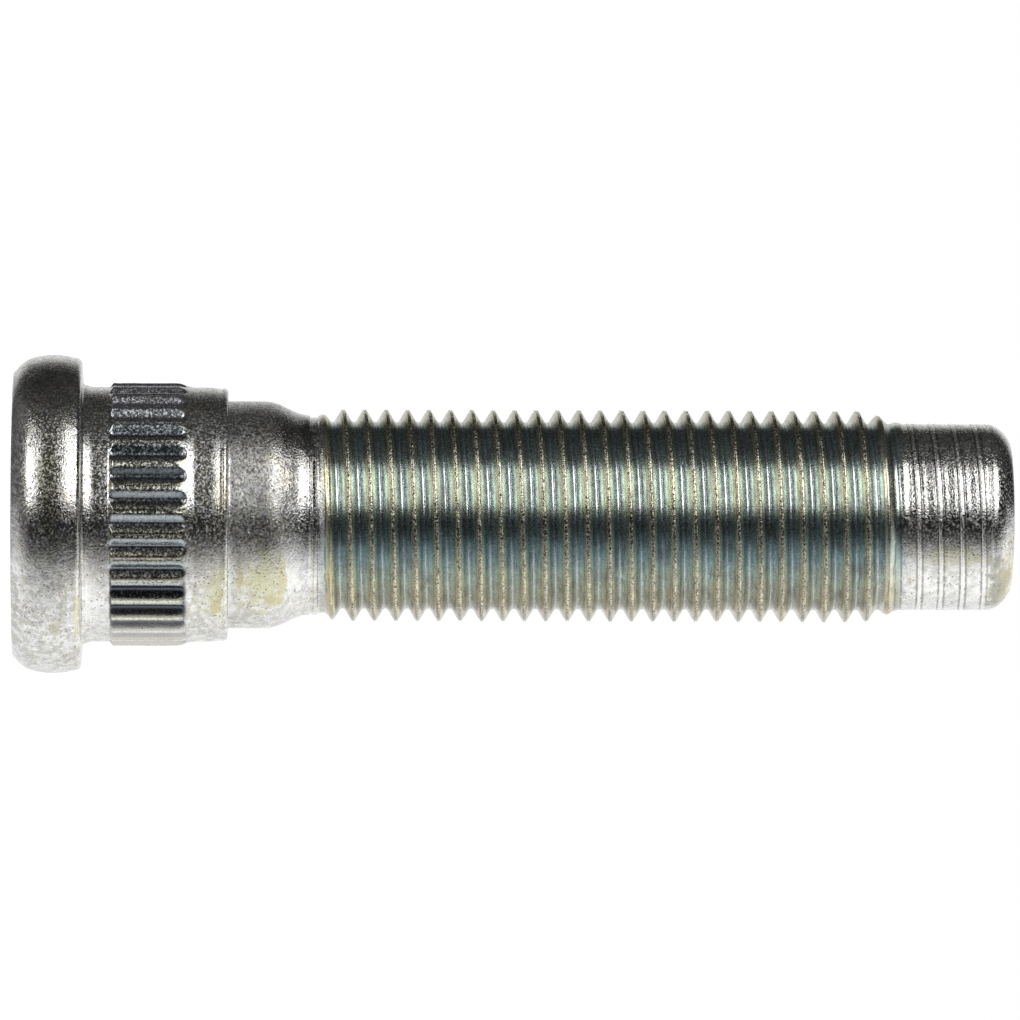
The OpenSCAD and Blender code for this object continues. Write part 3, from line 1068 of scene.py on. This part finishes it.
    def _roughness(self) -> Sock:
        """Returns the roughness by zone, with a fine unevenness."""
        low, high = self.thread.low, self.thread.high
        zones = [
            (0.0, 0.21), (4.0, 0.21), (4.8, 0.26), (12.3, 0.27), (12.9, 0.36), (15.2, 0.34), (16.6, 0.22),
            (18.0, 0.2), (low + 0.3, 0.28), (high - 1.0, 0.28), (high + 0.3, 0.2),
        ]
        length = self.plate.ramp_length
        stops = [(height / length, (value,) * 3) for height, value in zones]
        zone = self.nodes.ramp(self.z / length, stops)
        uneven = self._noise(7.0, 3.0, 0.8)
        specks = uneven.rise(0.53, 0.6) * 0.3 + (uneven - 0.5) * 0.5 - 0.06
        specks = specks * (1.0 - 0.75 * self.smoothed) * (1.0 - 0.35 * self.z.rise(4.6, 4.0))
        return (zone + self.crest * 0.03 + specks).maximum(0.07) + self.ridge * 0.1


@dataclass(frozen=True)
class Lamp:
    """A soft rectangular lamp whose long side runs along the stud."""

    name: str
    around: float
    distance: float
    width: float
    low: float
    high: float
    radiance: float


@dataclass(frozen=True)
class Studio:
    """A pale floor, a light tent with a dark side, two soft lamps and the camera.

    Angles around the stud are degrees from the camera's side, positive towards the top of the
    picture. Names that end in px are places in the photograph, which was taken at px_per_mm.
    """

    px_per_mm: float = 16.85
    photo_px: int = 1020
    head_px: float = 14.0
    axis_px: float = 514.3
    lift_px: float = 1.4
    centre_z: float = (photo_px / 2 - head_px) / px_per_mm
    camera_m: float = 0.56
    sensor_mm: float = 36.0
    yaw: float = math.radians(1.7)
    roll: float = math.radians(0.19)
    frame_mm: float = photo_px / px_per_mm
    floor_m: float = 2.5
    floor_glow: float = 0.62
    floor_colour: Colour = (0.85, 0.85, 0.85)
    world_soft: float = 0.55
    tent_columns: int = 72
    tent_rows: int = 36
    tent_tilt: float = 86.0
    tent_m: float = 0.8
    lamps: tuple[Lamp, ...] = (
        Lamp("lamp_left", 38.5, 450.0, 450.0, -420.0, -205.0, 5.0),
        Lamp("lamp_right", 38.5, 450.0, 450.0, 165.0, 440.0, 5.0),
    )
    tent: tuple[tuple[float, float], ...] = (
        (-180, 0.9), (-138, 0.9), (-110, 1.05), (-90, 1.15), (-70, 1.0), (-56, 0.78), (-46, 0.52),
        (-36, 0.25), (-26, 0.08), (-14, 0.02), (60, 0.05), (88, 0.09), (120, 0.05), (180, 0.03),
    )

    def direction(self, around: float) -> Vector:
        """Returns the level direction at an angle around the stud."""
        turn = math.radians(around)
        return Vector((-math.sin(turn), -math.cos(turn), 0.0))

    def build(self) -> None:
        """Builds the whole studio."""
        self._surround()
        self._floor()
        self._tent()
        for lamp in self.lamps:
            self._lamp(lamp)
        self._camera()

    def _surround(self) -> None:
        """Makes the world white to the camera and to mirrors, and softer for lighting."""
        world = bpy.data.worlds.new("surround")
        bpy.context.scene.world = world
        world.use_nodes = True
        nodes = Nodes(world.node_tree)
        rays = ("Is Camera Ray", "Is Glossy Ray", "Is Transmission Ray")
        camera, glossy, transmission = nodes.add("ShaderNodeLightPath", output=rays)
        direct = camera.maximum(glossy).maximum(transmission)
        strength = self.world_soft + (1.0 - self.world_soft) * direct
        inputs = {"Color": (1.0, 1.0, 1.0, 1.0), "Strength": strength}
        light = nodes.add("ShaderNodeBackground", {}, inputs)
        nodes.add("ShaderNodeOutputWorld", {}, {"Surface": light})

    def _screen(self, name: str, points: list[Any], faces: list[Any]) -> tuple[bpy.types.Object, Nodes]:
        """Adds a part of the stage that casts no shadow, with a material of its own.

        Args:
            name: Name of the part and of its material.
            points: Its points, in metres.
            faces: Its faces.

        Returns:
            The part, and the empty node tree of its material.
        """
        mesh = bpy.data.meshes.new(name)
        mesh.from_pydata(points, [], faces)
        material = bpy.data.materials.new(name)
        material.use_nodes = True
        mesh.materials.append(material)
        screen = bpy.data.objects.new(name, mesh)
        bpy.context.scene.collection.objects.link(screen)
        screen.visible_shadow = False
        return screen, Nodes(material.node_tree)

    def _floor(self) -> None:
        """Makes the pale floor that the stud stands on."""
        half = self.floor_m
        corners = [(-half, -half, 0), (half, -half, 0), (half, half, 0), (-half, half, 0)]
        floor, nodes = self._screen("floor", corners, [(0, 1, 2, 3)])
        path = nodes.add("ShaderNodeLightPath", output="Is Camera Ray")
        matt = nodes.add("ShaderNodeBsdfDiffuse", {}, {"Color": (*self.floor_colour, 1.0)})
        glow = nodes.add("ShaderNodeEmission", {}, {"Strength": path * self.floor_glow})
        both = nodes.add("ShaderNodeAddShader", {}, {0: matt, 1: glow})
        nodes.add("ShaderNodeOutputMaterial", {}, {"Surface": both})
        floor.visible_glossy = False

    def _tent(self) -> None:
        """Makes the light tent, which only mirrors see: pale below, with a dark side."""
        columns, rows = self.tent_columns, self.tent_rows
        points, faces = [], []
        for i in range(columns):
            for j in range(rows + 1):
                tilt = math.radians(mix(-self.tent_tilt, self.tent_tilt, j / rows))
                out = self.direction(360 * i / columns) * math.cos(tilt) + Vector((0, 0, math.sin(tilt)))
                points.append(out * self.tent_m)
        for i in range(columns):
            for j in range(rows):
                here, there = i * (rows + 1) + j, (i + 1) % columns * (rows + 1) + j
                faces.append((here, here + 1, there + 1, there))
        tent, nodes = self._screen("tent", points, faces)
        tent.location = (0.0, 0.0, self.centre_z * MM)
        place = nodes.add("ShaderNodeTexCoord", output="Object")
        x, y, z = nodes.add("ShaderNodeSeparateXYZ", {}, {0: place}, ("X", "Y", "Z"))
        turn = nodes.add("ShaderNodeMath", {"operation": "ARCTAN2"}, {0: x * -1.0, 1: y * -1.0})
        stops = [((angle + 180) / 360, (shade,) * 3) for angle, shade in self.tent]
        shade = nodes.ramp(turn / TURN + 0.5, stops)
        along, upper = z / self.tent_m, (turn / TURN).rise(-0.14, -0.02)
        shade = nodes.blend(along.rise(0.55, 0.8) * upper * 0.35, shade, (0.0, 0.0, 0.0))
        shade = nodes.blend(along.rise(-0.5, -0.8) * 0.15, shade, (1.0, 1.0, 1.0))
        shade = nodes.blend((y / self.tent_m).rise(0.78, 0.88), shade, (1.0, 1.0, 1.0))
        strength = 1.0 + along.rise(0.1, 0.6) * (1.0 - upper) * 0.2
        glow = nodes.add("ShaderNodeEmission", {}, {"Color": shade, "Strength": strength})
        nodes.add("ShaderNodeOutputMaterial", {}, {"Surface": glow})
        tent.visible_camera = False
        tent.visible_diffuse = False

    def _lamp(self, lamp: Lamp) -> None:
        """Makes one lamp.

        Args:
            lamp: Its place, size and brightness.
        """
        length = lamp.high - lamp.low
        data = bpy.data.lights.new(lamp.name, "AREA")
        data.shape = "RECTANGLE"
        data.size, data.size_y = lamp.width * MM, length * MM
        data.energy = lamp.radiance * math.pi * data.size * data.size_y
        light = bpy.data.objects.new(lamp.name, data)
        out = self.direction(lamp.around)
        up = Vector((0, 0, 1))
        turn = Matrix((up.cross(out), up, out)).transposed().to_4x4()
        place = out * lamp.distance * MM + up * (lamp.low + length / 2) * MM
        light.matrix_world = Matrix.Translation(place) @ turn
        light.visible_camera = False
        bpy.context.scene.collection.objects.link(light)

    def _camera(self) -> None:
        """Places the camera at the photograph's angle, lying on its side."""
        data = bpy.data.cameras.new("camera")
        data.sensor_width = self.sensor_mm
        data.lens = data.sensor_width * self.camera_m / (self.frame_mm * MM)
        data.clip_start, data.clip_end = 0.01, 20.0
        camera = bpy.data.objects.new("camera", data)
        right = Vector((0, -math.sin(self.yaw), math.cos(self.yaw)))
        up = Vector((-1, 0, 0))
        back = right.cross(up)
        turn = Matrix((right, up, back)).transposed().to_4x4()
        roll = Matrix.Rotation(self.roll, 4, back)
        middle = Vector((0.0, 0.0, self.centre_z * MM)) + back * self.camera_m
        camera.matrix_world = Matrix.Translation(middle) @ roll @ turn
        data.shift_y = (self.axis_px + self.lift_px - self.photo_px / 2) / self.photo_px
        bpy.context.scene.collection.objects.link(camera)
        bpy.context.scene.camera = camera


class WheelStud:
    """The whole stud, joined from its zones into one closed surface."""

    neck_r: float = 5.915
    root_r: float = 5.52
    overlap: float = 0.02
    head_top_rings: Flat = (5.1, 5.35)
    band_gap: float = 0.55
    neck_gap: float = 0.05

    def __init__(self) -> None:
        """Takes the sizes of each zone from the frame."""
        low, high = CAD_BOX
        collar_r = mount("collar")["dims"]["r_mm"]
        serrated, shoulder, threaded = (span(name) for name in ("serrations", "shoulder", "thread"))
        lead_r = mount("lead_point")["dims"]["r_mm"]
        top = high[2] / MM
        self.head = Head((high[0] - low[0]) / 2 / MM, mount("head_seat")["pos_m"][2] / MM)
        self.serrations = Serrations(mount("serrations")["dims"]["r_mm"], *serrated, collar_r)
        shoulder_r = mount("shoulder")["dims"]["r_mm"]
        self.shoulder = Shoulder(collar_r, span("collar")[1], shoulder_r, *shoulder, self.neck_r)
        self.lead_end = LeadEnd(lead_r, top)
        end = top - self.lead_end.height - self.overlap
        crest_r = mount("thread")["dims"]["r_mm"]
        self.thread = Thread(crest_r, self.root_r, self.neck_r, lead_r, *threaded, end)

    def build(self) -> bpy.types.Object:
        """Builds and dresses the stud.

        Returns:
            The finished piece.
        """
        maker = MeshMaker()
        head, band, shoulder, thread = self.head, self.serrations, self.shoulder, self.thread
        round_head = [TURN * i / head.points_round for i in range(head.points_round)]
        round_band = band.angles()
        first = thread.start_at(shoulder.shoulder_section()[-1][1] + self.neck_gap)
        round_neck = [first + TURN * i / thread.steps for i in range(thread.steps)]
        rings = self._revolve(maker, head.section(band.collar_r), round_head, head.relief)
        maker.cap(rings[0], 0.0, upward=False)
        for z in self.head_top_rings:
            rings.append(maker.ring(round_head, lambda a, z=z: (band.collar_r, z)))
        for z in band.heights():
            rings.append(maker.ring(round_band, lambda a, z=z: (band.radius(a, z), z)))
        collar = shoulder.collar_section(band.high + self.band_gap)
        rings += self._revolve(maker, collar, round_head, shoulder.turned.at)
        rings += self._revolve(maker, shoulder.shoulder_section(), round_neck, shoulder.turned.at)
        low, high = thread.build(maker)
        rings.append(low)
        for before, after in zip(rings, rings[1:]):
            maker.bridge(before, after)
        turned = [math.atan2(maker.points[i][1], maker.points[i][0]) for i in high]
        ends = self._revolve(maker, self.lead_end.section(), turned, None)
        for before, after in zip([high] + ends, ends):
            maker.bridge(before, after)
        maker.cap(ends[-1], self.lead_end.top, upward=True)
        piece = maker.build("stud")
        piece.data.materials.append(ZincPlate().build(thread, band))
        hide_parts(NODE)
        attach(piece, "root")
        return piece

    @staticmethod
    def _revolve(maker: MeshMaker, section: Section, angles: list[float],
                 relief: Optional[Callable[[float, float, float], float]]) -> list[list[int]]:
        """Turns a half section around the axis, with a relief on its surface.

        Args:
            maker: The surface to add to.
            section: The points of the half section.
            angles: Angles of the points around the axis.
            relief: Gives the offset along the normal, or None for a smooth surface.

        Returns:
            The rings of points.
        """
        rings = []
        for i, (r, z) in enumerate(section):
            before, after = section[max(i - 1, 0)], section[min(i + 1, len(section) - 1)]
            along = Vector((after[0] - before[0], after[1] - before[1])).normalized()
            out = Vector((along.y, -along.x))

            def place(a: float, r: float = r, z: float = z, out: Vector = out) -> Flat:
                """Returns distance from the axis and height at an angle."""
                off = relief(a, r, z) if relief else 0.0
                return r + out.x * off, z + out.y * off

            rings.append(maker.ring(angles, place))
        return rings


def main() -> None:
    """Builds the stud and the studio."""
    logging.basicConfig(level=logging.INFO, format="%(name)s: %(message)s")
    bpy.context.scene.view_settings.view_transform = "Standard"
    stud = WheelStud().build()
    triangles = sum(len(p.vertices) - 2 for p in stud.data.polygons)
    LOG.info("%s has %d triangles", stud.name, triangles)
    Studio().build()
    LOG.info("boxes written")


if __name__ == "__main__":
    main()
